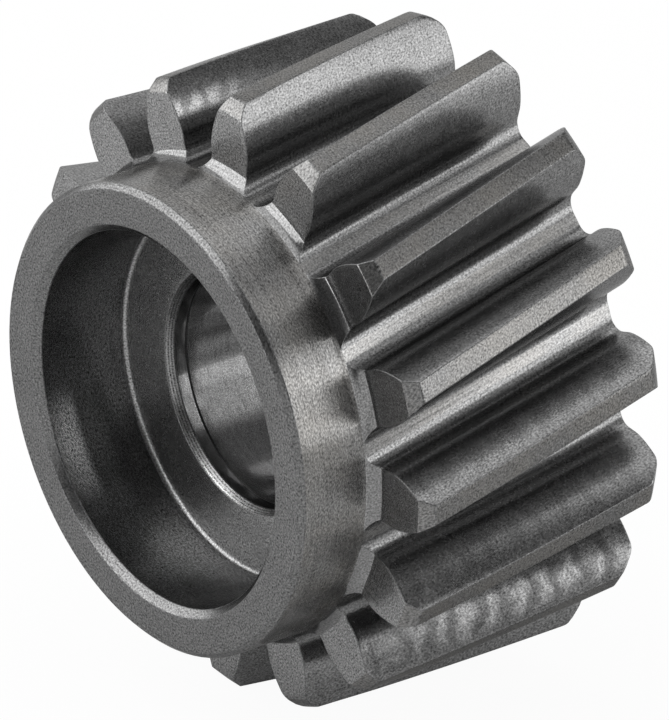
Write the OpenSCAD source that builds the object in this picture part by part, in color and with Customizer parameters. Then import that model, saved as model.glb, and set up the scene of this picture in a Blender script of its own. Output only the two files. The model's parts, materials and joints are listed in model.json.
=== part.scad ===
// Helical gear with a plain collar, a bearing seat in the collar and a pressed-in plain bush.
// Millimetres. The gear axis is Y: the collar's face is the most -Y face, the toothed end is +Y.
// The origin is on the axis, half way along the teeth.

/* [Teeth] */
// Number of teeth
tooth_count = 16; // [15:1:24]
// Normal module
tooth_module = 2; // [1.9:0.05:2.6]
// Normal pressure angle in degrees
pressure_angle = 20; // [18:0.5:24]
// Helix angle at the pitch circle in degrees, left-handed
helix_angle = 12; // [4:0.5:20]
// Axial length of the teeth, flat face to flat face
face_width = 17.2; // [12:0.1:24]
// How much each tooth is thinned at the pitch circle for backlash
tooth_thinning = 0.14; // [0:0.01:0.3]
// Tooth height above the pitch circle, in modules
addendum = 1; // [0.85:0.01:1.1]
// Tooth depth below the pitch circle, in modules
dedendum = 1.25; // [1.1:0.01:1.3]
// Radius of the fillet in the corner of each tooth gap
gap_fillet = 0.9; // [0.3:0.05:1]
// 45 degree chamfer on the tooth tips at the collar end
front_tip_chamfer = 0.7; // [0.2:0.05:1.2]
// 45 degree chamfer on the tooth tips at the far end
rear_tip_chamfer = 0.95; // [0.2:0.05:1.2]
// Turn of the teeth about the axis, in degrees
tooth_turn = 5; // [-11:0.5:11]

/* [Collar] */
// Length of the plain collar in front of the teeth
collar_length = 5.2; // [3.5:0.1:9]
// How far the collar lies below the bottom of the tooth gaps, so the cutter runs out over it
collar_relief = 0.05; // [0.03:0.01:0.3]
// 45 degree chamfer on the collar's outer edge
collar_chamfer = 0.33; // [0.1:0.01:0.8]
// Nose radius of the tool that leaves a hollow between the collar and the front of each tooth
neck_radius = 1.25; // [1.2:0.05:2]
// Length of that hollow along the axis
neck_length = 1.05; // [0.4:0.05:1.1]

/* [Bearing seat] */
// Diameter of the seat in the collar
seat_d = 22; // [18:0.1:23]
// Depth of the seat from the collar's face
seat_depth = 6.3; // [4:0.1:9]
// 45 degree chamfer at the mouth of the seat
seat_mouth_chamfer = 0.45; // [0.1:0.05:0.8]
// Radius in the corner of the seat's floor
seat_corner = 0.3; // [0.1:0.05:0.6]

/* [Bore] */
// Diameter of the bore through the lip and the bush
bore_d = 14; // [10:0.1:15]
// Thickness of the lip between the seat's floor and the bush
lip_thickness = 1.3; // [1:0.1:4]
// Depth of the lead-in at the lip's edge
lead_depth = 0.5; // [0.2:0.05:0.8]
// Widening of the bore's radius at that lead-in
lead_rise = 0.25; // [0.1:0.05:0.6]

/* [Bush] */
// Wall of the pressed-in bush
bush_wall = 2; // [1.2:0.1:2.6]
// How far the bush lies inside the gear's rear face
bush_setback = 0.2; // [0:0.05:1]
// Radial interference of the bush in the gear
bush_press = 0.01; // [0:0.005:0.03]
// 45 degree chamfer at both ends of the bush's bore
bush_bore_chamfer = 0.15; // [0.05:0.05:0.5]
// 45 degree chamfer at both ends of the bush's outside
bush_edge_chamfer = 0.3; // [0.1:0.05:0.6]
// 45 degree chamfer at the rear mouth of the gear's bush hole
rear_mouth_chamfer = 0.5; // [0.2:0.05:1]

/* [Hidden] */

round_steps = 120;
flank_steps = 5;
fillet_steps = 4;
corner_steps = 4;
neck_steps = 4;
helix_slices = 8;
// Stock that the toothed blank has outside the tip circle before it is turned
tip_stock = 0.2;
// How far a cutting or blending solid runs past the face that it meets
overrun = 0.5;

// Places along the axis
front_y = -face_width / 2 - collar_length;
teeth_front_y = -face_width / 2;
neck_start_y = teeth_front_y - neck_length;
rear_y = face_width / 2;
seat_floor_y = front_y + seat_depth;
lip_rear_y = seat_floor_y + lip_thickness;
bush_rear_y = rear_y - bush_setback;

// Tooth geometry in the plane square to the axis
transverse_pressure = atan(tan(pressure_angle) / cos(helix_angle));
pitch_r = tooth_count * tooth_module / (2 * cos(helix_angle));
base_r = pitch_r * cos(transverse_pressure);
tip_r = pitch_r + addendum * tooth_module;
root_r = pitch_r - dedendum * tooth_module;
collar_r = root_r - collar_relief;
gap_pitch = 360 / tooth_count;
helix_turn_per_mm = tan(helix_angle) / pitch_r * 180 / PI;

seat_r = seat_d / 2;
bore_r = bore_d / 2;
bush_hole_r = bore_r + bush_wall;
bush_r = bush_hole_r + bush_press;

// How far round its circle the hollow's curve runs, from the collar to the front of the teeth
neck_swing = asin(neck_length / neck_radius);

function polar(r, a) = [r * cos(a), r * sin(a)];

// Involute function, in degrees
function involute(a) = tan(a) * 180 / PI - a;

// Half the angle that a tooth fills at radius r
function tooth_half_angle(r) =
    90 / tooth_count - tooth_thinning / (2 * pitch_r) * 180 / PI
    + involute(transverse_pressure) - involute(acos(min(1, base_r / r)));

// Half the angle that a gap fills at radius r
function gap_half_angle(r) = gap_pitch / 2 - tooth_half_angle(r);

flank_foot_r = max(base_r, root_r + gap_fillet);
flank_foot_angle = gap_half_angle(flank_foot_r);
fillet_centre_r = root_r + gap_fillet;
fillet_centre_angle = flank_foot_angle - asin(gap_fillet / fillet_centre_r);

// The fillet's points, from the bottom of the gap to its side
fillet_points = [
    for (i = [0 : fillet_steps])
        let (start = fillet_centre_angle + 180, end = flank_foot_angle + 90,
             direction = start + (end - start) * i / fillet_steps)
        polar(fillet_centre_r, fillet_centre_angle) + polar(gap_fillet, direction)
];

// The flank's points, from the foot of the involute to a little past the tip circle
flank_points = [
    for (i = [0 : flank_steps])
        let (r = flank_foot_r + (tip_r + tip_stock - flank_foot_r) * i / flank_steps)
        polar(r, gap_half_angle(r))
];

gap_side = concat(fillet_points, flank_points);

function turned(p, a) = [p.x * cos(a) - p.y * sin(a), p.x * sin(a) + p.y * cos(a)];

// The whole toothed outline: each gap's falling side, then its rising side
toothed_outline = [
    for (gap = [0 : tooth_count - 1], side = [-1, 1], i = [0 : len(gap_side) - 1])
        let (p = gap_side[side < 0 ? len(gap_side) - 1 - i : i])
        turned([p.x, side * p.y], gap_pitch * (gap + 0.5))
];

// Turns a solid built along +Z so that it lies along +Y
module along_y() {
    rotate([-90, 0, 0]) children();
}

// A ring or disc turned about the axis, from [radius, place along the axis] points
module turned_body(outline) {
    along_y() rotate_extrude($fn = round_steps) polygon(outline);
}

// Twisted toothed blank, a little longer than the teeth at both ends
module toothed_blank() {
    start_y = neck_start_y - 2 * overrun;
    end_y = rear_y + overrun;
    along_y()
        translate([0, 0, start_y])
            rotate([0, 0, -(tooth_turn + start_y * helix_turn_per_mm)])
                linear_extrude(height = end_y - start_y,
                               twist = (end_y - start_y) * helix_turn_per_mm,
                               slices = helix_slices)
                    polygon(toothed_outline);
}

// The hollow from just above the collar to the front of the teeth
neck_points = [
    for (i = [1 : neck_steps])
        let (a = neck_swing * i / neck_steps)
        [collar_r + neck_radius * (1 - cos(a)), neck_start_y + neck_radius * sin(a)]
];

// What the lathe leaves of the toothed blank: neck, flat front, tip chamfers and flat rear
module teeth_envelope() {
    turned_body(concat(
        [
            [0, neck_start_y - overrun],
            [collar_r - overrun, neck_start_y - overrun]
        ],
        neck_points,
        [
            [tip_r - front_tip_chamfer, teeth_front_y],
            [tip_r, teeth_front_y + front_tip_chamfer],
            [tip_r, rear_y - rear_tip_chamfer],
            [tip_r - rear_tip_chamfer, rear_y],
            [0, rear_y]
        ]
    ));
}

// Collar, before it is bored; it ends inside the toothed part
module collar() {
    turned_body([
        [0, front_y],
        [collar_r - collar_chamfer, front_y],
        [collar_r, front_y + collar_chamfer],
        [collar_r, teeth_front_y],
        [collar_r - overrun, teeth_front_y + overrun],
        [0, teeth_front_y + overrun]
    ]);
}

// The seat's corner between its wall and its floor
seat_corner_points = [
    for (i = [0 : corner_steps])
        let (a = 90 * i / corner_steps)
        [seat_r - seat_corner, seat_floor_y - seat_corner] + polar(seat_corner, a)
];

// Everything that is bored out: seat, lead-in, bore through the lip, and the bush's hole
module bored_out() {
    turned_body(concat(
        [
            [0, front_y - overrun],
            [seat_r + seat_mouth_chamfer + overrun, front_y - overrun],
            [seat_r, front_y + seat_mouth_chamfer]
        ],
        seat_corner_points,
        [
            [bore_r + lead_rise, seat_floor_y],
            [bore_r, seat_floor_y + lead_depth],
            [bore_r, lip_rear_y],
            [bush_hole_r, lip_rear_y],
            [bush_hole_r, rear_y - rear_mouth_chamfer],
            [bush_hole_r + rear_mouth_chamfer + overrun, rear_y + overrun],
            [0, rear_y + overrun]
        ]
    ));
}

// The gear, one piece of steel
module gear_body() {
    color([0.42, 0.42, 0.43]) difference() {
        union() {
            intersection() {
                toothed_blank();
                teeth_envelope();
            }
            collar();
        }
        bored_out();
    }
}

// Plain bush, pressed in from the rear against the lip
module bore_bush() {
    color([0.47, 0.46, 0.45]) turned_body([
        [bore_r + bush_bore_chamfer, lip_rear_y],
        [bush_r - bush_edge_chamfer, lip_rear_y],
        [bush_r, lip_rear_y + bush_edge_chamfer],
        [bush_r, bush_rear_y - bush_edge_chamfer],
        [bush_r - bush_edge_chamfer, bush_rear_y],
        [bore_r + bush_bore_chamfer, bush_rear_y],
        [bore_r, bush_rear_y - bush_bore_chamfer],
        [bore_r, lip_rear_y + bush_bore_chamfer]
    ]);
}

gear_body();
bore_bush();
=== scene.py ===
import json
import math

import bmesh
import bpy
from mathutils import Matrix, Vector


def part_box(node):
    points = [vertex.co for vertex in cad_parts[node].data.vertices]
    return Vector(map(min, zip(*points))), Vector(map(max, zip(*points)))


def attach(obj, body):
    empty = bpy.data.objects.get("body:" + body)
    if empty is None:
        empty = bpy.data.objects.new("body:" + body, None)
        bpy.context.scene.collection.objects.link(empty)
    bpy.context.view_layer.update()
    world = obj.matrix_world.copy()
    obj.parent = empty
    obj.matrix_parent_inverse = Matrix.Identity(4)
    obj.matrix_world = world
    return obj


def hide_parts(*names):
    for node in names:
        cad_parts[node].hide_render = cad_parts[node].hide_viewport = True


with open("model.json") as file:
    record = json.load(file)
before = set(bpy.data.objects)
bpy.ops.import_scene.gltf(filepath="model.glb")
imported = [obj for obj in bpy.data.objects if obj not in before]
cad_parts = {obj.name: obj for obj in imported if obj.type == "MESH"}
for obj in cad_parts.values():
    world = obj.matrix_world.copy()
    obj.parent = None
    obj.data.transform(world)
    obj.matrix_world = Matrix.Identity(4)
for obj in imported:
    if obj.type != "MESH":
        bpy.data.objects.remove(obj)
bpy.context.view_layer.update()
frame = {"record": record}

# All sizes are millimetres in the gear's own frame: Y is the axis, the collar towards -Y, +Z up.
# Angles round the axis count from +X over +Z. Teeth are numbered from 0 the same way.
MM = 0.001

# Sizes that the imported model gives. The teeth reach as far to the front as to the rear.
gear_low, gear_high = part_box("gear_body")
bush_low, bush_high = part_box("bore_bush")
mounts = {mount["name"]: mount for mount in frame["record"]["mounts"]}
FRONT_Y = gear_low.y / MM
REAR_Y = gear_high.y / MM
TEETH_FRONT_Y = -REAR_Y
TIP_R = gear_high.x / MM
BORE_R = mounts["bore"]["dims"]["r_mm"]
SEAT_R = mounts["bearing_seat"]["dims"]["r_mm"]
SEAT_FLOOR_Y = mounts["seat_shoulder"]["pos_m"][1] / MM
LIP_REAR_Y = bush_low.y / MM
BUSH_REAR_Y = bush_high.y / MM
BUSH_R = bush_high.x / MM

# Teeth
TOOTH_COUNT = 16
TOOTH_MODULE = 2
PRESSURE_ANGLE = math.radians(20)
HELIX_ANGLE = math.radians(12)
TOOTH_THINNING = 0.14
DEDENDUM = 1.25
GAP_FILLET = 0.9
FRONT_TIP_CHAMFER = 0.7
REAR_TIP_CHAMFER = 0.95
TOOTH_TURN = math.radians(5)

# Collar, neck, seat, bore and bush
COLLAR_RELIEF = 0.05
COLLAR_CHAMFER = 0.33
NECK_RADIUS = 1.25
NECK_LENGTH = 1.05
SEAT_MOUTH_CHAMFER = 0.45
SEAT_CORNER = 0.3
LEAD_DEPTH = 0.5
LEAD_RISE = 0.25
REAR_MOUTH_CHAMFER = 0.5
BUSH_BORE_CHAMFER = 0.09
BUSH_EDGE_CHAMFER = 0.3

# How far the edges and the corners of the turned ends are bent round, some teeth's rear tips more
EDGE_ROUND = 0.045
HOLLOW_EDGE = 0.045
FRONT_BEND = 0.008
REAR_BEND = 0.32
REAR_TIP_BEND = 0.28
ROUNDER_REAR = {4: 0.7, 5: 0.4}

# How far the front of a tip is worn round, by tooth, what share of that the edge of its end is
# bent round, and how far behind the front the wear begins to fade and is gone
TIP_WEAR = {4: 0.42, 5: 0.25, 6: 0.6, 7: 0.35, 13: 0.6, 14: 0.3}
WORN_END_SHARE = 0.7
WEAR_FULL = 1.5
WEAR_GONE = 6

# How finely the meshes are divided. The rows along a tooth stand closer at both ends of it.
ROWS_ALONG = 44
END_SHARES = (0.006, 0.012, 0.02)
COLUMNS_ACROSS = 6
GAP_COLUMNS = 3
FILLET_STEPS = 6
FLANK_STEPS = 11
EDGE_STEPS = 3
CORNER_STEPS = 4
BUSH_SIDES = 180
SAME_POINT = 0.002

# Sizes that follow
TRANSVERSE_PRESSURE = math.atan(math.tan(PRESSURE_ANGLE) / math.cos(HELIX_ANGLE))
PITCH_R = TOOTH_COUNT * TOOTH_MODULE / (2 * math.cos(HELIX_ANGLE))
BASE_R = PITCH_R * math.cos(TRANSVERSE_PRESSURE)
ROOT_R = PITCH_R - DEDENDUM * TOOTH_MODULE
COLLAR_R = ROOT_R - COLLAR_RELIEF
HELIX_TURN = math.tan(HELIX_ANGLE) / PITCH_R
TOOTH_PITCH = 2 * math.pi / TOOTH_COUNT
NECK_START_Y = TEETH_FRONT_Y - NECK_LENGTH
NECK_TOP_R = COLLAR_R + NECK_RADIUS - math.sqrt(NECK_RADIUS ** 2 - NECK_LENGTH ** 2)
FLANK_FOOT_R = max(BASE_R, ROOT_R + GAP_FILLET)
FILLET_CENTRE_R = ROOT_R + GAP_FILLET
FILLET_END_R = math.sqrt(FILLET_CENTRE_R ** 2 - GAP_FILLET ** 2)
BUSH_FACE_MIDDLE_R = BORE_R + 1

# Finish coordinates run across each tooth and the gap after it, and start this far apart
FINISH_STRIDE = 2 * TIP_R

# All steel: how far it acts as bare metal, how light it mirrors at a flat angle, how far and which
# way fine grooves spread a reflection, and how much more blue than red its warm clouds change
METAL_SHARE = 0.92
FLAT_ANGLE_TINT = 0.5
GROOVE_SPREAD = 0.85
GROOVE_TURN = 0.25
WARM_BLUE = 1.6

# Blotches and clouds in the steel: how often they change per millimetre, how much of the tone and
# of the roughness they change, and how high the relief of blotches and tool lines stands
BLOTCH_SCALE = 2.6
BLOTCH_TONE = 0.28
BLOTCH_GLOSS = 0.06
BLOTCH_HEIGHT = 0.0015
CLOUD_SCALE = 0.35
CLOUD_TONE = 0.12
CLOUD_GLOSS = 0.05
LINE_HEIGHT = 0.0008

# The part of the raw noise that is spread to reach from 0 to 1
NOISE_LOW = 0.25
NOISE_HIGH = 0.75

# Tool marks and fine grain as changes per millimetre: round the axis or across a tooth, then along
AROUND = (0.2, 4.5)
ALONG = (4.5, 0.25)
GAP_LINES = (5.5, 0.12)
HONING = (0.35, 6)
PLAIN_LAY = (1, 1)
PLAIN_GRAIN = (9, 9)
COLLAR_GRAIN = (8, 10)
GRAIN_AROUND = (6.5, 9.5)
GRAIN_ALONG = (9.5, 7)

# The hob's feed marks: how far from the middle of the crest their band lies, how far apart they
# are, how strongly they bend, how far they stray, how often that changes, how often their mottling
# changes, and how much of them it leaves where it is darkest
FEED_BAND = 2.0
FEED_PERIOD = 1.65
FEED_CURVE = 0.3
FEED_STRAY = 1.3
FEED_STRAY_SCALE = 0.6
FEED_MOTTLING = (1.4, 2.6)
LEAST_MOTTLED = 0.4

# How strong the feed marks are and how light the flanks below them, and what some teeth add to
# that: the stronger marks on some teeth are painted reflection, and the darker flanks of two teeth
# are painted shade. The lower tooth has the plainest marks, and more so behind its front. The upper
# tooth has a bright row of them near its front alone, a painted reflection, this far below the band
# of the others and with crescents that stand out by this share.
FEED_STRENGTH = 0.08
PAINTED_FEED_REFLECTION = {15: 0.15, 0: 0.15}
FLANK_LEVEL = 0.98
PAINTED_FLANK_SHADE = {14: -0.26, 5: -0.2}
LOWER_TOOTH = 14
LOWER_FEED = 0.25
LOWER_FEED_BEHIND = 0.5
UPPER_TOOTH = 5
UPPER_FEED = 1.1
UPPER_BAND = 0.45
UPPER_CRESCENTS = 0.75

# Turned rings in the lead-in: how far apart they are, how much they change the tone, where round
# the axis their painted highlight lies, in degrees, and how light they are there and, as painted
# shade, elsewhere
RING_PERIOD = 0.165
RING_TONE = 0.5
PAINTED_HIGHLIGHT_AT = 256
PAINTED_HIGHLIGHT_TONE = 1.3
PAINTED_SHADE_LEVEL = 0.55

# Lines at the neck's end: how far apart they are, and how much they darken
NECK_LINE_PERIOD = 0.22
NECK_LINE_TONE = 0.4

# A painted reflection in the seat's mouth, a light patch with painted shade behind it: where it lies
# round the axis, in degrees, how much lighter it is, and how much darker the place behind it
PAINTED_PATCH_AT = 211
PAINTED_PATCH_LIGHT = 1.3
PAINTED_SHADE_BEHIND_PATCH = 0.5

# Painted reflections in the bore, two light bands, and painted shade on the lip in front: both
# bands' places round the axis, in degrees, how much lighter they are, how much darker the lip in
# front is, and how softly that ends
PAINTED_SHARP_BAND_AT = 208
PAINTED_SHARP_BAND_LIGHT = 0.6
PAINTED_WIDE_BAND_AT = 26
PAINTED_WIDE_BAND_LIGHT = 0.7
PAINTED_LIP_SHADE = 0.5
LIP_BLUR = 0.05

# The camera as fitted to the photo: its direction in degrees, how far to the right of the middle
# of the collar's end and how far above it the view is centred, how far it stands off, and its lens
CAMERA_AZIMUTH = 52.7336
CAMERA_ELEVATION = 26.1849
CAMERA_AIM_RIGHT = 10.2134
CAMERA_AIM_UP = 3.4704
CAMERA_DISTANCE = 759.246
CAMERA_LENS = 680.529
CAMERA_SENSOR = 36
CLIP_START = 0.01
CLIP_END = 20

# The studio: a pale floor and a white surround with dim places. A dim place is its azimuth, its
# elevation, where it starts to brighten and where it is white again, in degrees, and its level.
# Of the floor this share is pure white to the camera and in mirrors, and the rest is lit. The
# surround has the bounce level for light that is neither seen nor mirrored.
FLOOR_REACH = 1.5
FLOOR_COLOUR = 0.85
FLOOR_WHITE_SHARE = 0.95
FLOOR_MIRRORED_SHARE = 0.2
BOUNCE_LEVEL = 0.75
DIM_PLACES = [
    (20, 40, 15, 30, 0.12),
    (52, 42, 18, 31, 0.06),
    (88, 46, 14, 26, 0.04),
    (106, 45, 5, 16, 0.2),
    (98, 6, 4, 12, 0.3),
    (179, 38, 8, 20, 0.25),
    (170, 62, 2, 13, 0.4),
    (-8, 2, 3, 12, 0.3),
]


def between(a, b, share):
    """The point that lies that share of the way from a to b."""
    return tuple(p + (q - p) * share for p, q in zip(a, b))


def bend_points(start, corner, end):
    """Points on a smooth bend round a corner, without its two ends."""
    points = []
    for i in range(1, EDGE_STEPS):
        share = i / EDGE_STEPS
        points.append(between(between(start, corner, share), between(corner, end, share), share))
    return points


def third_side(a, b, angle):
    """The third side of a triangle with sides a and b and that angle between them."""
    return math.sqrt(a ** 2 + b ** 2 - 2 * a * b * math.cos(angle))


def involute(angle):
    """How far round its base circle an involute has come where its pressure angle is this one."""
    return math.tan(angle) - angle


def flank_half_angle(r):
    """Half the angle that a tooth fills at radius r, on the involute."""
    at_pitch = math.pi / (2 * TOOTH_COUNT) - TOOTH_THINNING / (2 * PITCH_R)
    return at_pitch + involute(TRANSVERSE_PRESSURE) - involute(math.acos(min(1, BASE_R / r)))


def tooth_half_angle(r):
    """Half the angle that a tooth fills at radius r, from the gap's bottom to the tip."""
    if r >= FLANK_FOOT_R:
        return flank_half_angle(r)
    foot_half_angle = flank_half_angle(FLANK_FOOT_R)
    if r >= FILLET_END_R:
        return foot_half_angle
    reach = (FILLET_CENTRE_R ** 2 + GAP_FILLET ** 2 - r ** 2) / (2 * FILLET_CENTRE_R * GAP_FILLET)
    swing = math.acos(max(-1, min(1, reach)))
    aside = math.atan2(GAP_FILLET * math.sin(swing), FILLET_CENTRE_R - GAP_FILLET * math.cos(swing))
    return foot_half_angle + math.asin(GAP_FILLET / FILLET_CENTRE_R) - aside


def bent_step(past, bend):
    """0 before a corner, the way past it after; a bend of that size joins the two."""
    if past <= -bend:
        return 0
    if past >= bend:
        return past
    return (past + bend) ** 2 / (4 * bend)


def front_y(r, bend=FRONT_BEND):
    """Where the turned front of the toothed part lies at radius r; the bend is the tip chamfer's."""
    if r >= NECK_TOP_R:
        return TEETH_FRONT_Y + bent_step(r - TIP_R + FRONT_TIP_CHAMFER, bend)
    depth = max(0, r - COLLAR_R)
    return NECK_START_Y + math.sqrt(depth * (2 * NECK_RADIUS - depth))


def front_run(r):
    """Length along the turned front from the collar to radius r."""
    depth = max(0, min(r, NECK_TOP_R) - COLLAR_R)
    return NECK_RADIUS * math.acos(1 - depth / NECK_RADIUS) + max(0, r - NECK_TOP_R)


def front_finish(r):
    """The finish of a tooth's front end at radius r."""
    if r < NECK_TOP_R:
        return "neck"
    return "tip_chamfer" if r > TIP_R - FRONT_TIP_CHAMFER else "tooth_face"


def rear_y(r):
    """Where the turned rear of the toothed part lies at radius r."""
    return REAR_Y - bent_step(r - TIP_R + REAR_TIP_CHAMFER, REAR_BEND)


def rear_run(r):
    """Length along the turned rear from the axis to radius r."""
    return r


def rear_finish(r):
    """The finish of a tooth's rear end at radius r."""
    return "tip_chamfer" if r > TIP_R - REAR_TIP_CHAMFER else "rear_face"


def flank_radii():
    """Radii from the gap's bottom nearly to the tip, with every corner of both turned ends."""
    corners = [NECK_TOP_R + HOLLOW_EDGE * i for i in (-1, 0, 1)]
    corners += [TIP_R - FRONT_TIP_CHAMFER + FRONT_BEND * i for i in (-1, 0, 1)]
    corners += [TIP_R - REAR_TIP_CHAMFER + REAR_BEND * i / 2 for i in (-2, -1, 0, 1, 2)]
    swings = [math.pi / 2 * i / FILLET_STEPS for i in range(1, FILLET_STEPS)]
    fillet = [third_side(FILLET_CENTRE_R, GAP_FILLET, swing) for swing in swings]
    flank = [FLANK_FOOT_R + (TIP_R - FLANK_FOOT_R) * i / FLANK_STEPS for i in range(FLANK_STEPS)]
    plain = fillet + [FILLET_END_R] + flank
    kept = [r for r in plain if min(abs(r - corner) for corner in corners) > EDGE_ROUND]
    return [ROOT_R] + sorted(kept + corners) + [TIP_R - EDGE_ROUND]


def section(r, angle):
    """A point across the axis, given by its radius and angle, as flat coordinates."""
    return r * math.cos(angle), r * math.sin(angle)


def side_and_crest():
    """A tooth's left side and its crest, as (radius, angle aside, finish of the stretch before)."""
    side = [(r, -tooth_half_angle(r), "flank") for r in flank_radii()]
    top_angle = tooth_half_angle(TIP_R)
    crest_angle = top_angle - EDGE_ROUND / TIP_R
    bend = bend_points(section(*side[-1][:2]), section(TIP_R, -top_angle), section(TIP_R, -crest_angle))
    side += [(math.hypot(x, z), math.atan2(z, x), "edge") for x, z in bend]
    crest = [
        (TIP_R, crest_angle * (2 * i / COLUMNS_ACROSS - 1), "crest" if i else "edge")
        for i in range(COLUMNS_ACROSS + 1)
    ]
    return side, crest


def tooth_outline():
    """A tooth's outline from foot to foot: its (radius, angle) spots, the finish of each stretch,
    how far along the outline each spot lies, and how many spots reach from a foot onto the crest."""
    side, crest = side_and_crest()
    spots = [(r, a) for r, a, _ in side + crest] + [(r, -a) for r, a, _ in reversed(side)]
    finishes = [finish for _, _, finish in side[1:] + crest]
    finishes += finishes[:len(side)][::-1]
    runs = [0]
    for a, b in zip(spots, spots[1:]):
        runs.append(runs[-1] + math.dist(section(*a), section(*b)))
    return spots, finishes, runs, len(side) + 1


def inset(spots, depths):
    """The spots moved into the tooth, square to its outline, each by its own depth."""
    flat = [section(r, a) for r, a in spots]
    last = len(flat) - 1
    moved = []
    for i, depth in enumerate(depths):
        ahead = flat[min(i + 1, last)]
        behind = flat[max(i - 1, 0)]
        along = (ahead[0] - behind[0], ahead[1] - behind[1])
        length = math.hypot(*along)
        x = flat[i][0] - depth * along[1] / length
        z = flat[i][1] + depth * along[0] / length
        if i in (0, last):
            x, z = section(spots[i][0] - depth, spots[i][1])
        moved.append((math.hypot(x, z), math.atan2(z, x)))
    return moved


def gap_angles():
    """Angles across the bottom of a gap, from one tooth's foot to the next tooth's."""
    foot = tooth_half_angle(ROOT_R)
    return [foot + (TOOTH_PITCH - 2 * foot) * i / GAP_COLUMNS for i in range(GAP_COLUMNS + 1)]


def add_object(name, data):
    """A new object in the scene."""
    thing = bpy.data.objects.new(name, data)
    bpy.context.scene.collection.objects.link(thing)
    return thing


class MeshMaker:
    """Collects points, faces, their finish and their finish coordinates, then makes one object."""

    def __init__(self):
        self.points = []
        self.index = {}
        self.faces = []
        self.finishes = []
        self.coordinates = []

    def point(self, place):
        """Index of the point at that place in millimetres; the same place gives the same point."""
        key = tuple(round(value, 4) for value in place)
        if key not in self.index:
            self.index[key] = len(self.points)
            self.points.append(place)
        return self.index[key]

    def grid(self, rows, finishes):
        """Faces between rows of (place, finish coordinate); finishes names that of each column."""
        indexed = [[(self.point(place), spot) for place, spot in row] for row in rows]
        for upper, lower in zip(indexed, indexed[1:]):
            for k, finish in enumerate(finishes):
                self.face([upper[k], upper[k + 1], lower[k + 1], lower[k]], finish)

    def face(self, corners, finish):
        """One face; corners that fall together count once, and a face of two corners isn't made."""
        seen = {}
        for point, spot in corners:
            seen.setdefault(point, spot)
        if len(seen) > 2:
            self.faces.append(list(seen))
            self.finishes.append(finish)
            self.coordinates += [value for spot in seen.values() for value in spot]

    def build(self, name, materials):
        """The object; materials go by finish."""
        mesh = bpy.data.meshes.new(name)
        mesh.from_pydata([[value * MM for value in place] for place in self.points], [], self.faces)
        layer = mesh.uv_layers.new(name="finish")
        layer.data.foreach_set("uv", self.coordinates)
        for material in materials.values():
            mesh.materials.append(material)
        slots = {finish: i for i, finish in enumerate(materials)}
        mesh.polygons.foreach_set("material_index", [slots[finish] for finish in self.finishes])
        mesh.polygons.foreach_set("use_smooth", [True] * len(self.faces))
        work = bmesh.new()
        work.from_mesh(mesh)
        bmesh.ops.remove_doubles(work, verts=work.verts, dist=SAME_POINT * MM)
        bmesh.ops.recalc_face_normals(work, faces=work.faces)
        work.to_mesh(mesh)
        work.free()
        piece = add_object(name, mesh)
        shading = piece.modifiers.new("even_faces", "WEIGHTED_NORMAL")
        shading.keep_sharp = True
        return piece


def turned_place(r, y, angle):
    """The point at radius r, at y along the axis and at that angle round it."""
    return r * math.cos(angle), y, r * math.sin(angle)


def arc(centre, radius, first, last, steps):
    """(radius, place) points on a circle, without the first."""
    angles = [first + (last - first) * i / steps for i in range(1, steps + 1)]
    return [(centre[0] + radius * math.cos(a), centre[1] + radius * math.sin(a)) for a in angles]


def meridian(start, stretches):
    """(radius, place) points along straight stretches, with the finish of each step between them.
    A stretch is its end, its steps, its finish and the size of the bend at its end."""
    points = [start]
    finishes = []
    corner = start
    bend = 0
    before = ""
    for end, steps, finish, next_bend in stretches:
        length = math.dist(corner, end)
        begin = between(corner, end, bend / length)
        stop = between(end, corner, next_bend / length)
        if bend:
            bent = bend_points(points[-1], corner, begin) + [begin]
            points += bent
            finishes += ["joint" if "joint" in (before, finish) else "edge"] * len(bent)
        points += [between(begin, stop, i / steps) for i in range(1, steps + 1)]
        finishes += [finish] * steps
        corner = end
        bend = next_bend
        before = finish
    return points, finishes


def turned_surface(maker, points, finishes, angles, twist=0):
    """Turns (radius, place) points about the axis; the angles may follow the helix."""
    along = 0
    rows = []
    for i, (r, y) in enumerate(points):
        if i:
            along += math.dist(points[i - 1], points[i])
        rows.append([(turned_place(r, y, a + twist * y), (a * SEAT_R, along)) for a in angles])
    for pair, finish in zip(zip(rows, rows[1:]), finishes):
        maker.grid(pair, [finish] * (len(angles) - 1))


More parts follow.
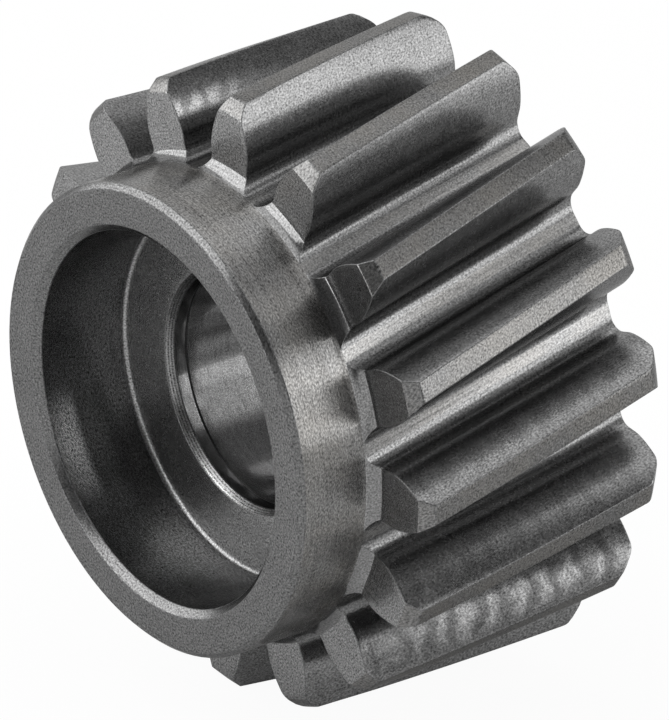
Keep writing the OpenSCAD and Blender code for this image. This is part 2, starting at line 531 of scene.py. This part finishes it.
class Tooth:
    """One tooth and the gap after it: where their points lie, and the faces between these."""

    def __init__(self, maker, number):
        self.maker = maker
        self.turn = TOOTH_TURN + number * TOOTH_PITCH
        self.finish_start = number * FINISH_STRIDE
        self.wear = TIP_WEAR.get(number, 0)
        self.rear_bend = ROUNDER_REAR.get(number, REAR_TIP_BEND)

    def front_y(self, r):
        """Where this tooth's front lies at radius r."""
        return front_y(r, max(FRONT_BEND, WORN_END_SHARE * self.wear))

    def wear_at(self, y):
        """How far the tip is worn round at that place along the tooth."""
        share = max(0, min(1, (WEAR_GONE - (y - TEETH_FRONT_Y)) / (WEAR_GONE - WEAR_FULL)))
        return self.wear * share * share * (3 - 2 * share)

    def worn(self, r, angle, y):
        """The radius and angle of a point once the tip is worn round."""
        rear_past = y - REAR_Y + REAR_TIP_CHAMFER
        r = min(r, TIP_R - bent_step(rear_past, self.rear_bend))
        wear = self.wear_at(y)
        if wear < EDGE_ROUND:
            return r, angle
        front_past = TEETH_FRONT_Y + FRONT_TIP_CHAMFER - y
        r = min(r, TIP_R - bent_step(front_past, wear * WORN_END_SHARE))
        start = tooth_half_angle(TIP_R - wear) * TIP_R - wear
        across = (abs(angle) * TIP_R - start) / wear
        out = (r - TIP_R + wear) / wear
        reach = math.hypot(across, out)
        if across > 0 and out > 0 and reach > 1:
            r = TIP_R - wear + wear * out / reach
            angle = math.copysign((start + wear * across / reach) / TIP_R, angle)
        return r, angle

    def place(self, r, angle, y):
        """The point at that radius, at that angle aside from the tooth's middle and at that y."""
        r, angle = self.worn(r, angle, y)
        return turned_place(r, y, self.turn + HELIX_TURN * y + angle)

    def rows_along(self, spots, runs, front_rounds):
        """Rows of (place, finish coordinate) from front to rear, between the rounded edges."""
        starts = [self.front_y(r) + size for (r, _), size in zip(spots, front_rounds)]
        ends = [rear_y(r) - EDGE_ROUND for r, _ in spots]
        middle_shares = [i / ROWS_ALONG for i in range(1, ROWS_ALONG)]
        rear_shares = [1 - share for share in reversed(END_SHARES)]
        rows = []
        for share in [0, *END_SHARES, *middle_shares, *rear_shares, 1]:
            row = []
            for (r, a), run, start, end in zip(spots, runs, starts, ends):
                y = start + (end - start) * share
                row.append((self.place(r, a, y), (self.finish_start + run, y)))
            rows.append(row)
        return rows

    def round_edge(self, sides, spots, inner, end_y):
        """Rounds the edge between the last row of the sides and an end face."""
        corners = [self.place(r, a, end_y(r)) for r, a in spots]
        ends = [self.place(r, a, end_y(r)) for r, a in inner]
        bends = [bend_points(side[0], corner, end) for side, corner, end in zip(sides, corners, ends)]
        strip = [sides]
        for i in range(EDGE_STEPS - 1):
            strip.append([(bend[i], side[1]) for bend, side in zip(bends, sides)])
        strip.append([(end, side[1]) for end, side in zip(ends, sides)])
        self.maker.grid(strip, ["edge"] * (len(spots) - 1))

    def sweep(self, spots, finishes, runs, front_rounds, inner_front, inner_rear):
        """Faces along the tooth through the spots, with both of their rounded ends."""
        rows = self.rows_along(spots, runs, front_rounds)
        self.maker.grid(rows, finishes)
        self.round_edge(rows[0], spots, inner_front, self.front_y)
        self.round_edge(rows[-1], spots, inner_rear, rear_y)

    def end_face(self, half, end_y, run, finish):
        """One end of the tooth, in columns from its left half's spots to their mirror images."""
        rows = []
        for r, a in half:
            asides = [a * (1 - 2 * i / COLUMNS_ACROSS) for i in range(COLUMNS_ACROSS + 1)]
            rows.append([
                (self.place(r, aside, end_y(r)), (self.finish_start + aside * r, run(r)))
                for aside in asides
            ])
        for i in range(len(half) - 1):
            middle_r = (half[i][0] + half[i + 1][0]) / 2
            self.maker.grid(rows[i:i + 2], [finish(middle_r)] * COLUMNS_ACROSS)

    def add_tooth(self, outline):
        """The tooth's sides, crest and both ends."""
        spots, finishes, runs, half_count = outline
        # The front edge grows round out of the neck, over the lower half of the fillet
        rounds = [EDGE_ROUND * max(0, min(1, (r - ROOT_R) / (GAP_FILLET / 2))) for r, _ in spots]
        inner_front = inset(spots, rounds)
        inner_rear = inset(spots, [EDGE_ROUND] * len(spots))
        self.sweep(spots, finishes, runs, rounds, inner_front, inner_rear)
        self.add_gap(runs[-1])
        self.end_face(inner_front[:half_count], self.front_y, front_run, front_finish)
        self.end_face(inner_rear[:half_count], rear_y, rear_run, rear_finish)

    def add_gap(self, outline_length):
        """The bottom of the gap after the tooth; its finish goes on where the tooth's ends."""
        gap = gap_angles()
        spots = [(ROOT_R, a) for a in gap]
        runs = [outline_length + (a - gap[0]) * ROOT_R for a in gap]
        inner_rear = [(ROOT_R - EDGE_ROUND, a) for a in gap]
        self.sweep(spots, ["gap_bottom"] * GAP_COLUMNS, runs, [0] * len(gap), spots, inner_rear)


def gear_stretches():
    """The gear's turned outline from the tooth fronts over the collar and through to the rear face."""
    bend = EDGE_ROUND
    relief_r = COLLAR_R + COLLAR_RELIEF / 4
    corner_centre = (SEAT_R - SEAT_CORNER, SEAT_FLOOR_Y - SEAT_CORNER)
    corner = arc(corner_centre, SEAT_CORNER, 0, math.pi / 2, CORNER_STEPS)
    return [
        ((relief_r, front_y(relief_r)), 1, "collar", 0),
        ((COLLAR_R, NECK_START_Y), 1, "collar", 0),
        ((COLLAR_R, FRONT_Y + COLLAR_CHAMFER), 8, "collar", bend),
        ((COLLAR_R - COLLAR_CHAMFER, FRONT_Y), 1, "chamfer", bend),
        ((SEAT_R + SEAT_MOUTH_CHAMFER, FRONT_Y), 4, "ground_face", bend),
        ((SEAT_R, FRONT_Y + SEAT_MOUTH_CHAMFER), 1, "chamfer", bend),
        ((SEAT_R, corner_centre[1]), 8, "seat_wall", 0),
        *[(place, 1, "seat_corner", 0) for place in corner],
        ((BORE_R + LEAD_RISE, SEAT_FLOOR_Y), 5, "seat_floor", bend),
        ((BORE_R, SEAT_FLOOR_Y + LEAD_DEPTH), 1, "lead_in", bend),
        ((BORE_R, LIP_REAR_Y), 2, "bush_bore", bend),
        ((BUSH_R, LIP_REAR_Y), 1, "joint", bend),
        ((BUSH_R, REAR_Y - REAR_MOUTH_CHAMFER), 4, "seat_wall", bend),
        ((BUSH_R + REAR_MOUTH_CHAMFER, REAR_Y), 1, "chamfer", bend),
        ((ROOT_R - EDGE_ROUND, REAR_Y), 4, "rear_face", 0),
    ]


def gear_angles():
    """Angles round the gear that meet the columns of its teeth and gaps."""
    gap = gap_angles()
    foot_columns = [gap[0] * (2 * i / COLUMNS_ACROSS - 1) for i in range(COLUMNS_ACROSS)]
    one_pitch = foot_columns + gap[:-1]
    turns = [TOOTH_TURN + tooth * TOOTH_PITCH for tooth in range(TOOTH_COUNT)]
    angles = [turn + angle for turn in turns for angle in one_pitch]
    return angles + [angles[0] + 2 * math.pi]


def make_gear(materials):
    maker = MeshMaker()
    outline = tooth_outline()
    for number in range(TOOTH_COUNT):
        Tooth(maker, number).add_tooth(outline)
    points, finishes = meridian((ROOT_R, front_y(ROOT_R)), gear_stretches())
    turned_surface(maker, points, finishes, gear_angles(), HELIX_TURN)
    return maker.build("gear_steel_body", materials)


def bush_stretches(start):
    """The bush's outline, once round from the start in the middle of its front face."""
    bend = BUSH_BORE_CHAMFER / 4
    return [
        ((BORE_R + BUSH_BORE_CHAMFER, LIP_REAR_Y), 1, "joint", bend),
        ((BORE_R, LIP_REAR_Y + BUSH_BORE_CHAMFER), 1, "joint", bend),
        ((BORE_R, BUSH_REAR_Y - BUSH_BORE_CHAMFER), 12, "bush_bore", bend),
        ((BORE_R + BUSH_BORE_CHAMFER, BUSH_REAR_Y), 1, "chamfer", bend),
        ((BUSH_R - BUSH_EDGE_CHAMFER, BUSH_REAR_Y), 2, "seat_floor", bend),
        ((BUSH_R, BUSH_REAR_Y - BUSH_EDGE_CHAMFER), 1, "chamfer", bend),
        ((BUSH_R, LIP_REAR_Y + BUSH_EDGE_CHAMFER), 6, "seat_wall", bend),
        ((BUSH_R - BUSH_EDGE_CHAMFER, LIP_REAR_Y), 1, "chamfer", bend),
        (start, 1, "seat_wall", 0),
    ]


def make_bush(materials):
    maker = MeshMaker()
    angles = [2 * math.pi * i / BUSH_SIDES for i in range(BUSH_SIDES + 1)]
    start = (BUSH_FACE_MIDDLE_R, LIP_REAR_Y)
    points, finishes = meridian(start, bush_stretches(start))
    turned_surface(maker, points, finishes, angles)
    return maker.build("bush_steel_sleeve", materials)


class Value:
    """What a node puts out. It can be reckoned with like a number, which adds maths nodes."""

    def __init__(self, tree, socket):
        self.tree = tree
        self.socket = socket

    def __add__(self, other):
        return calculate("ADD", self, other)

    def __sub__(self, other):
        return calculate("SUBTRACT", self, other)

    def __rsub__(self, other):
        return calculate("SUBTRACT", other, self)

    def __mul__(self, other):
        return calculate("MULTIPLY", self, other)

    def __mod__(self, other):
        return calculate("MODULO", self, other)

    def __floordiv__(self, other):
        return calculate("FLOOR", calculate("DIVIDE", self, other))

    def __abs__(self):
        return calculate("ABSOLUTE", self)

    __radd__ = __add__


def add_node(tree, kind, inputs, **settings):
    """A new node; inputs go by name or number, and are Values or plain values."""
    node = tree.nodes.new(kind)
    for name, setting in settings.items():
        setattr(node, name, setting)
    for key, value in inputs.items():
        if isinstance(value, Value):
            tree.links.new(value.socket, node.inputs[key])
        else:
            node.inputs[key].default_value = value
    return node


def calculate(operation, *values):
    """The result of a maths node; at least one of the values is a Value."""
    tree = next(value.tree for value in values if isinstance(value, Value))
    node = add_node(tree, "ShaderNodeMath", dict(enumerate(values)), operation=operation)
    return Value(tree, node.outputs[0])


def parts(place):
    """The three coordinates of a place."""
    node = add_node(place.tree, "ShaderNodeSeparateXYZ", {0: place})
    return [Value(place.tree, output) for output in node.outputs]


def scaled(place, factors):
    """A place or colour times one factor, or times one for each of its three parts."""
    node = add_node(place.tree, "ShaderNodeVectorMath", {0: place, 1: factors}, operation="MULTIPLY")
    return Value(place.tree, node.outputs[0])


def noise(place, scale, detail, roughness=0.5):
    """Noise from 0 to 1 at a place in millimetres, pushed apart from its narrow middle range."""
    tree = place.tree
    inputs = {"Vector": place, "Scale": scale, "Detail": detail, "Roughness": roughness}
    raw = Value(tree, add_node(tree, "ShaderNodeTexNoise", inputs).outputs["Fac"])
    limits = {"From Min": NOISE_LOW, "From Max": NOISE_HIGH}
    spread = add_node(tree, "ShaderNodeMapRange", {"Value": raw, **limits})
    return Value(tree, spread.outputs[0])


def pattern(finish, changes, detail, roughness=0.5):
    """Noise in the finish coordinates that changes that often across and along."""
    return noise(scaled(finish, (*changes, 0)), 1, detail, roughness)


def faded(value, full, gone):
    """1 at the full value, falling smoothly to 0 at the other."""
    inputs = {"Value": value, "From Min": gone, "From Max": full}
    node = add_node(value.tree, "ShaderNodeMapRange", inputs, interpolation_type="SMOOTHSTEP")
    return Value(value.tree, node.outputs[0])


def wave(place, period):
    """A wave from -1 to 1 along one coordinate."""
    return calculate("SINE", place * (2 * math.pi / period))


def varied(level, texture, amount):
    """The level plus a texture from 0 to 1 that changes it by half the amount to each side."""
    return level + (texture - 0.5) * amount


def millimetre_places(tree):
    """The object's own coordinates and the finish coordinates, both in millimetres."""
    coordinates = tree.nodes.new("ShaderNodeTexCoord")
    finish = tree.nodes.new("ShaderNodeUVMap")
    finish.uv_map = "finish"
    place = scaled(Value(tree, coordinates.outputs["Object"]), (1 / MM,) * 3)
    return place, Value(tree, finish.outputs[0])


def turned_by(place, degrees):
    """Angle round the axis in degrees, from -180 to 180, counted from the given one."""
    x, _, z = parts(place)
    cosine, sine = math.cos(math.radians(degrees)), math.sin(math.radians(degrees))
    across = x * cosine + z * sine
    up = z * cosine - x * sine
    return calculate("ARCTAN2", up, across) * math.degrees(1)


def on_tooth(tooth, number):
    """1 on the tooth of that number, 0 on the others."""
    return calculate("COMPARE", tooth, number, 0.5)


def by_tooth(tooth, usual, changes):
    """The usual value, and on some teeth that plus their own change."""
    value = usual
    for number, change in changes.items():
        value = value + on_tooth(tooth, number) * change
    return value


def upper_tooth_marks(tooth, off_band, along, crescents):
    """Painted reflection: the bright row near the front of the upper tooth, whose crescents run together.
    """
    row = faded(abs(off_band - UPPER_BAND), full=0.15, gone=0.75)
    near_front = faded(along, full=-5.5, gone=-1.5)
    run_together = crescents * UPPER_CRESCENTS + (1 - UPPER_CRESCENTS)
    return run_together * row * near_front * on_tooth(tooth, UPPER_TOOTH) * UPPER_FEED


def feed_marks(finish, place, level):
    """Crescents that the hob leaves along each flank, faint on most teeth and painted stronger on a few as
    painted reflection, with painted shade on two flanks.
    """
    across, along, _ = parts(finish)
    tooth = across // FINISH_STRIDE
    off_band = abs(across % FINISH_STRIDE - MIDDLE_RUN) - FEED_BAND
    stray = noise(place, FEED_STRAY_SCALE, detail=2) * FEED_STRAY
    course = along + off_band * off_band * FEED_CURVE + stray
    crescents = faded(wave(course, FEED_PERIOD), full=0.9, gone=-0.9)
    mottling = pattern(finish, FEED_MOTTLING, detail=2) + LEAST_MOTTLED
    marks = crescents * faded(abs(off_band), full=0.5, gone=1.4) * mottling
    lower_feed = faded(along, full=-2, gone=-8) * LOWER_FEED_BEHIND + LOWER_FEED
    # Stronger marks on some teeth are painted reflection, and darker flanks on two teeth are painted shade
    strength = by_tooth(tooth, FEED_STRENGTH, {LOWER_TOOTH: lower_feed, **PAINTED_FEED_REFLECTION})
    plain = by_tooth(tooth, FLANK_LEVEL, PAINTED_FLANK_SHADE)
    return level * (marks * strength + plain + upper_tooth_marks(tooth, off_band, along, crescents))


def rings_with_painted_highlight(finish, place, level):
    """Turned rings that stand close together, with a painted highlight on one side and painted shade
    elsewhere.
    """
    _, along, _ = parts(finish)
    highlight = faded(abs(turned_by(place, PAINTED_HIGHLIGHT_AT)), full=14, gone=42)
    rings = wave(along, RING_PERIOD) * RING_TONE
    return (level + rings) * (highlight * PAINTED_HIGHLIGHT_TONE + PAINTED_SHADE_LEVEL)


def neck_lines(finish, place, level):
    """Two fine lines where the turned hollow runs out into the collar."""
    _, along, _ = parts(finish)
    lines = wave(along, NECK_LINE_PERIOD) * faded(along, full=0.28, gone=0.5)
    return level * (1 - lines * NECK_LINE_TONE)


def painted_mouth_reflection(finish, place, level):
    """A painted reflection, a lighter patch inside the seat's mouth, with painted shade behind it."""
    _, y, _ = parts(place)
    near = faded(abs(turned_by(place, PAINTED_PATCH_AT)), full=10, gone=20)
    mouth = faded(y, full=-12, gone=-11.3)
    behind = faded(y, full=-10.2, gone=-8.8) - mouth
    return level * ((mouth * PAINTED_PATCH_LIGHT - behind * PAINTED_SHADE_BEHIND_PATCH) * near + 1)


def painted_bore_reflections(finish, place, level):
    """Painted reflections in the bore: a sharp light band that fades softly to one side, and a
    wide one opposite. The lip in front has painted shade, except in the sharp band."""
    _, y, _ = parts(place)
    from_sharp = turned_by(place, PAINTED_SHARP_BAND_AT)
    sharp = faded(from_sharp, full=-12.3, gone=-13.7) * faded(from_sharp, full=11, gone=17)
    soft = faded(from_sharp, full=-13, gone=-34) * faded(from_sharp, full=11, gone=19)
    wide = faded(abs(turned_by(place, PAINTED_WIDE_BAND_AT)), full=44, gone=52)
    lip = faded(y, full=LIP_REAR_Y - LIP_BLUR, gone=LIP_REAR_Y + LIP_BLUR)
    bright = 1 + (sharp + soft) * PAINTED_SHARP_BAND_LIGHT + wide * PAINTED_WIDE_BAND_LIGHT
    return level * bright * (1 - lip * (1 - sharp) * PAINTED_LIP_SHADE)


def groove_spread(tree, shader):
    """Fine grooves round the axis spread a reflection along it."""
    tangent = tree.nodes.new("ShaderNodeTangent")
    tangent.direction_type = "RADIAL"
    tangent.axis = "Y"
    tree.links.new(tangent.outputs[0], shader.inputs["Tangent"])
    shader.inputs["Anisotropic"].default_value = GROOVE_SPREAD
    shader.inputs["Anisotropic Rotation"].default_value = GROOVE_TURN


def warm_cast(cloud, warmth):
    """White that turns warmer where the clouds are light."""
    tree = cloud.tree
    white = (1, 1, 1, 1)
    warm = (1 + warmth, 1, 1 - WARM_BLUE * warmth, 1)
    node = add_node(tree, "ShaderNodeMix", {0: cloud, 6: white, 7: warm}, data_type="RGBA")
    return Value(tree, node.outputs[2])


def steel(
    name, tone, roughness, lay=PLAIN_LAY, lay_tone=0.1, grain=PLAIN_GRAIN, grain_tone=1.55,
    warmth=0, marks=None, grooved=False,
):
    """Machined steel: how light and how rough it is, its tool marks and grain and how much of the
    tone they change, how warm its clouds are, a function for marks of its own, and fine grooves."""
    material = bpy.data.materials.new(name)
    material.use_nodes = True
    tree = material.node_tree
    shader = tree.nodes["Principled BSDF"]
    shader.inputs["Metallic"].default_value = METAL_SHARE
    shader.inputs["Specular Tint"].default_value = (*(FLAT_ANGLE_TINT,) * 3, 1)
    if grooved:
        groove_spread(tree, shader)

    place, finish = millimetre_places(tree)
    speckle = pattern(finish, grain, detail=1)
    lines = pattern(finish, lay, detail=3, roughness=0.6)
    blotch = noise(place, BLOTCH_SCALE, detail=3, roughness=0.6)
    cloud = noise(place, CLOUD_SCALE, detail=3)

    level = varied(1, speckle, grain_tone)
    level = varied(level, blotch, BLOTCH_TONE)
    level = varied(level, lines, lay_tone)
    level = varied(level, cloud, CLOUD_TONE)
    if marks:
        level = marks(finish, place, level)
    colour = scaled(warm_cast(cloud, warmth), level * tone)
    gloss = varied(varied(roughness, blotch, BLOTCH_GLOSS), cloud, CLOUD_GLOSS)
    height = lines * LINE_HEIGHT + blotch * BLOTCH_HEIGHT
    bump = add_node(tree, "ShaderNodeBump", {"Strength": 1, "Distance": MM, "Height": height})
    tree.links.new(colour.socket, shader.inputs["Base Color"])
    tree.links.new(gloss.socket, shader.inputs["Roughness"])
    tree.links.new(bump.outputs[0], shader.inputs["Normal"])
    return material


def ray_kinds(tree):
    """1 for rays from the camera, and 1 for rays that a mirror or glass sends on."""
    rays = tree.nodes.new("ShaderNodeLightPath")
    glossy = Value(tree, rays.outputs["Is Glossy Ray"])
    through = Value(tree, rays.outputs["Is Transmission Ray"])
    return Value(tree, rays.outputs["Is Camera Ray"]), calculate("MAXIMUM", glossy, through)


def floor_material():
    material = bpy.data.materials.new("floor_white")
    material.use_nodes = True
    tree = material.node_tree
    tree.nodes.clear()
    lit = add_node(tree, "ShaderNodeBsdfDiffuse", {"Color": (*(FLOOR_COLOUR,) * 3, 1)})
    white = add_node(tree, "ShaderNodeEmission", {"Color": (1, 1, 1, 1), "Strength": 1})
    seen, mirrored = ray_kinds(tree)
    share = seen * FLOOR_WHITE_SHARE + mirrored * FLOOR_MIRRORED_SHARE
    shaders = {1: Value(tree, lit.outputs[0]), 2: Value(tree, white.outputs[0])}
    mixed = add_node(tree, "ShaderNodeMixShader", {0: share, **shaders})
    add_node(tree, "ShaderNodeOutputMaterial", {0: Value(tree, mixed.outputs[0])})
    return material


def make_floor():
    reach = FLOOR_REACH
    low = -TIP_R * MM
    corners = [(-reach, -reach, low), (reach, -reach, low), (reach, reach, low), (-reach, reach, low)]
    mesh = bpy.data.meshes.new("floor")
    mesh.from_pydata(corners, [], [(0, 1, 2, 3)])
    mesh.materials.append(floor_material())
    floor = add_object("floor", mesh)


def direction(azimuth, elevation):
    """Unit vector; azimuth 0 is towards -Y, 90 towards +X."""
    a, e = math.radians(azimuth), math.radians(elevation)
    return Vector((math.sin(a) * math.cos(e), -math.cos(a) * math.cos(e), math.sin(e)))


def dim_place(place, azimuth, elevation, inner, outer, level):
    """The level inside a dim place, 1 outside, and a smooth change between the two."""
    tree = place.tree
    sides = {0: place, 1: direction(azimuth, elevation)}
    facing = add_node(tree, "ShaderNodeVectorMath", sides, operation="DOT_PRODUCT")
    inputs = {
        "Value": Value(tree, facing.outputs["Value"]),
        "From Min": math.cos(math.radians(outer)),
        "From Max": math.cos(math.radians(inner)),
        "To Min": 1,
        "To Max": level,
    }
    shade = add_node(tree, "ShaderNodeMapRange", inputs, interpolation_type="SMOOTHSTEP")
    return Value(tree, shade.outputs[0])


def make_world():
    """White where it is seen, with dim places in what the metal mirrors, such as the camera's opening."""
    world = bpy.data.worlds.new("world")
    bpy.context.scene.world = world
    world.use_nodes = True
    tree = world.node_tree
    tree.nodes.clear()
    place = Value(tree, tree.nodes.new("ShaderNodeTexCoord").outputs["Generated"])
    seen, mirrored = ray_kinds(tree)
    shading = 1
    for dim in DIM_PLACES:
        shading = calculate("MINIMUM", shading, dim_place(place, *dim))
    level = mirrored * (1 - BOUNCE_LEVEL) + BOUNCE_LEVEL
    strength = calculate("MAXIMUM", seen, level * shading)
    white = add_node(tree, "ShaderNodeBackground", {"Color": (1, 1, 1, 1), "Strength": strength})
    add_node(tree, "ShaderNodeOutputWorld", {0: Value(tree, white.outputs[0])})


def make_camera():
    back = direction(CAMERA_AZIMUTH, CAMERA_ELEVATION)
    right = direction(CAMERA_AZIMUTH + 90, 0)
    up = back.cross(right)
    data = bpy.data.cameras.new("camera")
    data.sensor_width = CAMERA_SENSOR
    data.lens = CAMERA_LENS
    data.clip_start = CLIP_START
    data.clip_end = CLIP_END
    camera = add_object("camera", data)
    centre = Vector((0, FRONT_Y, 0))
    camera.location = (centre + right * CAMERA_AIM_RIGHT + up * CAMERA_AIM_UP + back * CAMERA_DISTANCE) * MM
    camera.rotation_euler = back.to_track_quat("Z", "Y").to_euler()
    bpy.context.scene.camera = camera


def soft_lamp(name, azimuth, elevation, distance, width, height, radiance, upright=False):
    """A rectangular soft box, upright or facing the object, with its sizes in metres; radiance 1 is
    as bright as the white background."""
    data = bpy.data.lights.new(name, "AREA")
    data.shape = "RECTANGLE"
    data.size = width
    data.size_y = height
    data.energy = radiance * math.pi * width * height
    lamp = add_object(name, data)
    lamp.location = direction(azimuth, elevation) * distance
    back = direction(azimuth, 0 if upright else elevation)
    lamp.rotation_euler = back.to_track_quat("Z", "Y").to_euler()
    lamp.visible_camera = False


# Where the middle of a tooth's crest lies in its finish coordinates
MIDDLE_RUN = tooth_outline()[2][-1] / 2

STEELS = {
    "ground_face": steel("steel_ground_face", tone=0.16, roughness=0.3),
    "collar": steel(
        "steel_turned_collar", tone=0.185, roughness=0.25, lay=AROUND, lay_tone=0.5,
        grain=COLLAR_GRAIN, grain_tone=1.3, warmth=0.03, grooved=True,
    ),
    "neck": steel(
        "steel_turned_neck", tone=0.21, roughness=0.125, lay=AROUND, lay_tone=0.25,
        grain_tone=1, marks=neck_lines,
    ),
    "flank": steel(
        "steel_hobbed_flank", tone=0.185, roughness=0.26, lay=ALONG, lay_tone=0.3,
        grain=GRAIN_ALONG, grain_tone=1.3, marks=feed_marks,
    ),
    "gap_bottom": steel(
        "steel_hobbed_gap", tone=0.245, roughness=0.24, lay=GAP_LINES, lay_tone=0.6,
        grain=GRAIN_ALONG, grain_tone=0.95, warmth=0.02,
    ),
    "crest": steel(
        "steel_tooth_crest", tone=0.145, roughness=0.28, lay=ALONG, lay_tone=0.12,
        grain_tone=1.35, warmth=0.035,
    ),
    "tooth_face": steel("steel_faced_tooth", tone=0.25, roughness=0.24),
    "tip_chamfer": steel("steel_tip_chamfer", tone=0.18, roughness=0.26, grain_tone=1.25, warmth=0.02),
    # The bored wall carries a painted reflection in the seat's mouth, with painted shade behind it
    "seat_wall": steel(
        "steel_bored_wall", tone=0.19, roughness=0.22, lay=AROUND, lay_tone=0.2,
        grain=GRAIN_AROUND, grain_tone=1.6, marks=painted_mouth_reflection,
    ),
    "seat_floor": steel(
        "steel_bored_floor", tone=0.27, roughness=0.26, lay=AROUND, lay_tone=0.12, grain_tone=2,
    ),
    "chamfer": steel(
        "steel_chamfer", tone=0.152, roughness=0.24, lay=AROUND, lay_tone=0.2, grain_tone=1.3,
    ),
    "edge": steel("steel_worn_edge", tone=0.155, roughness=0.45),
    "rear_face": steel(
        "steel_faced_rear", tone=0.17, roughness=0.3, lay=AROUND, lay_tone=0.2, grain=GRAIN_AROUND,
    ),
    "joint": steel("steel_oily_joint", tone=0.03, roughness=0.4),
    # The honed bore carries painted reflections in two bands and painted shade on its lip
    "bush_bore": steel(
        "steel_honed_bore", tone=0.25, roughness=0.12, lay=HONING, lay_tone=0.4,
        grain=GRAIN_AROUND, grain_tone=0.9, marks=painted_bore_reflections,
    ),
    # The lead-in's rings carry a painted highlight on one side and painted shade elsewhere
    "lead_in": steel(
        "steel_lead_in", tone=0.45, roughness=0.28, lay=AROUND, marks=rings_with_painted_highlight, grooved=True,
    ),
    "seat_corner": steel("steel_seat_corner", tone=0.3, roughness=0.34, lay=AROUND),
}

gear = make_gear(STEELS)
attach(gear, "root")
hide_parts("gear_body")
bush = make_bush(STEELS)
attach(bush, "root")
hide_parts("bore_bush")

make_floor()
make_world()
make_camera()
soft_lamp(
    "key_lamp", azimuth=-43.5, elevation=42.3, distance=0.54, width=0.68, height=0.657, radiance=2.1,
    upright=True,
)
soft_lamp("rear_lamp", azimuth=136, elevation=11.5, distance=0.5, width=0.466, height=0.374, radiance=2.0)
soft_lamp("strip_lamp", azimuth=104, elevation=27.5, distance=0.5, width=0.14, height=0.06, radiance=1.8)
soft_lamp("upper_lamp", azimuth=154, elevation=42, distance=0.5, width=0.1, height=0.09, radiance=1)
soft_lamp("far_lamp", azimuth=-132, elevation=13, distance=0.5, width=0.3, height=0.3, radiance=0.5)
soft_lamp("top_lamp", azimuth=-120, elevation=78, distance=0.5, width=0.5, height=0.5, radiance=0.6)
bpy.context.scene.view_settings.view_transform = "Standard"
